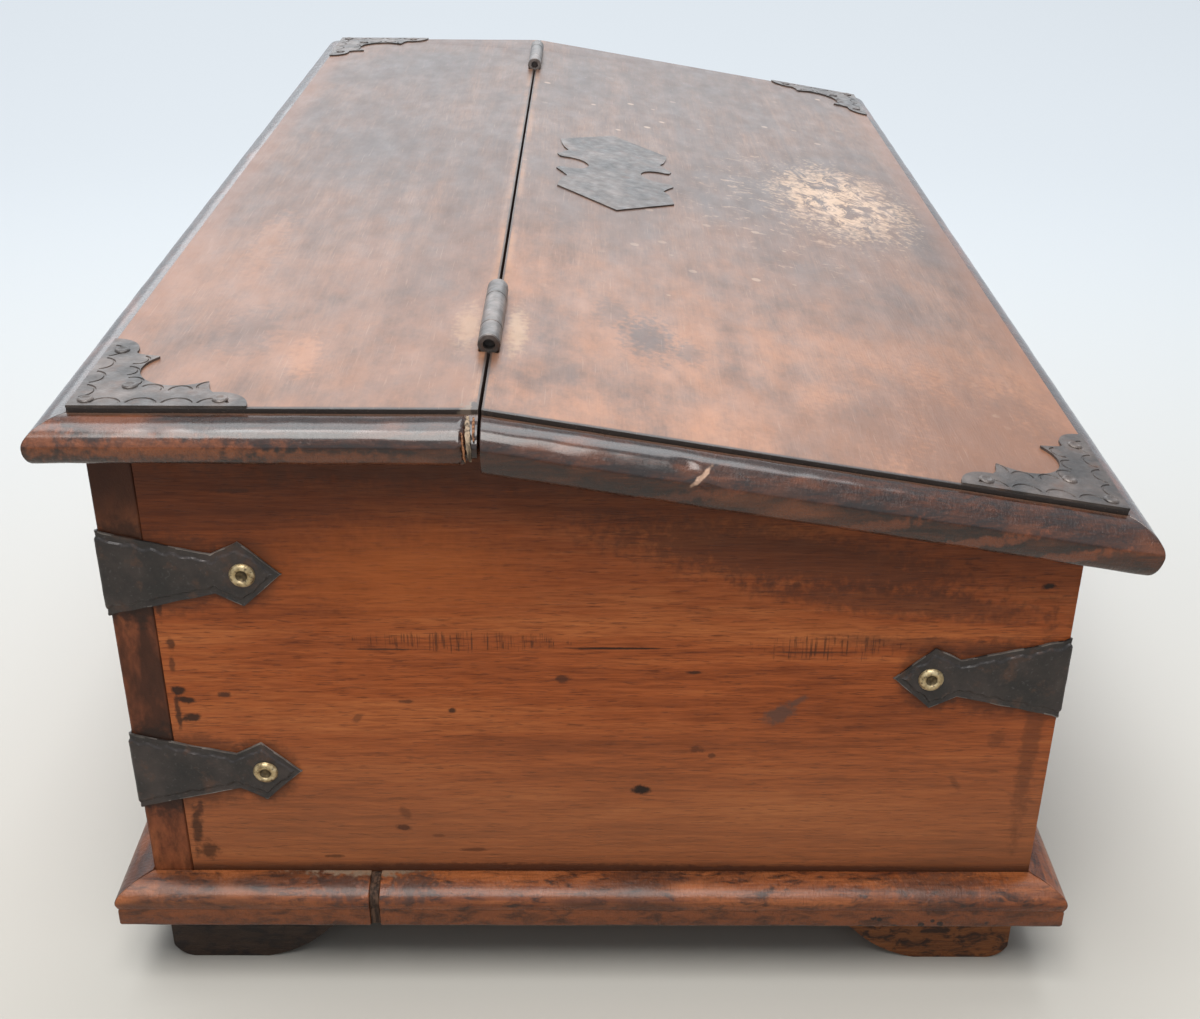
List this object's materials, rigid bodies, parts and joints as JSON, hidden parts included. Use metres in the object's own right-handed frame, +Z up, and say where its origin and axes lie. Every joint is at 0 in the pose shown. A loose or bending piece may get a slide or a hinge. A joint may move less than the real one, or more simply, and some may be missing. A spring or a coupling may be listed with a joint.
{
  "type": "pen box",
  "caption": "Slope-lidded wooden desk box for pens and papers, with a fixed top strip, moulded edges, bracket feet, iron corner straps and plates.",
  "frame": {"origin": "centre of the bounding box in plan, at floor level under the feet", "axes": "+X along the length of the box, -Y towards the low front end of the slope, +Z up"},
  "size_m": [0.5662, 0.3321, 0.221],
  "materials": {
    "wall_wood": "old oiled reddish brown hardwood, fine grain along the boards",
    "worn_top_wood": "worn greyish brown hardwood with scuffs and pale flecks",
    "dark_moulding_wood": "dark polished moulding with crazed old varnish",
    "foot_wood": "dark stained, worn",
    "inner_wood": "bare, dry",
    "dark_iron": "blackened wrought iron sheet, slightly shiny",
    "hinge_iron": "blackened wrought iron, rubbed",
    "aged_brass": "tarnished cast brass"
  },
  "bodies": {
    "carcase": {"back_wall": "wall_wood", "base_moulding_back": "dark_moulding_wood", "base_moulding_front": "dark_moulding_wood", "base_moulding_left_filler": "dark_moulding_wood", "base_moulding_left_long": "dark_moulding_wood", "base_moulding_left_short": "dark_moulding_wood", "base_moulding_right": "dark_moulding_wood", "bottom_board": "inner_wood", "end_wall_left": "wall_wood", "end_wall_right": "wall_wood", "fixed_top": "worn_top_wood", "foot_back_left_end": "foot_wood", "foot_back_left_side": "foot_wood", "foot_back_right_end": "foot_wood", "foot_back_right_side": "foot_wood", "foot_front_left_end": "foot_wood", "foot_front_left_side": "foot_wood", "foot_front_right_end": "foot_wood", "foot_front_right_side": "foot_wood", "front_wall": "wall_wood", "hinge_left_fixed_leaf": "hinge_iron", "hinge_left_pin": "hinge_iron", "hinge_right_fixed_leaf": "hinge_iron", "hinge_right_pin": "hinge_iron", "nails_back": "aged_brass", "nails_front": "aged_brass", "nails_left_end": "aged_brass", "nails_right_end": "aged_brass", "nails_top_plates": "dark_iron", "pen_divider": "inner_wood", "seam_rail": "inner_wood", "strap_left_back_high": "dark_iron", "strap_left_back_low": "dark_iron", "strap_left_front": "dark_iron", "strap_right_back_high": "dark_iron", "strap_right_back_low": "dark_iron", "strap_right_front": "dark_iron", "top_moulding_back": "dark_moulding_wood", "top_moulding_left": "dark_moulding_wood", "top_moulding_right": "dark_moulding_wood", "top_plate_left": "dark_iron", "top_plate_right": "dark_iron"},
    "lid": {"lid_board": "worn_top_wood", "lid_moulding_front": "dark_moulding_wood", "lid_moulding_left": "dark_moulding_wood", "lid_moulding_right": "dark_moulding_wood", "lid_plate_left": "dark_iron", "lid_plate_right": "dark_iron", "nails_lid_plates": "dark_iron", "centre_plate": "dark_iron", "hinge_left_lid_leaf": "hinge_iron", "hinge_right_lid_leaf": "hinge_iron"}
  },
  "joints": [
    {"name": "lid_hinge", "type": "hinge", "parent": "carcase", "child": "lid", "pos_m": [0, 0.03622, 0.21736], "axis": [-1, 0, 0], "range_deg": [0, 188]}
  ]
}
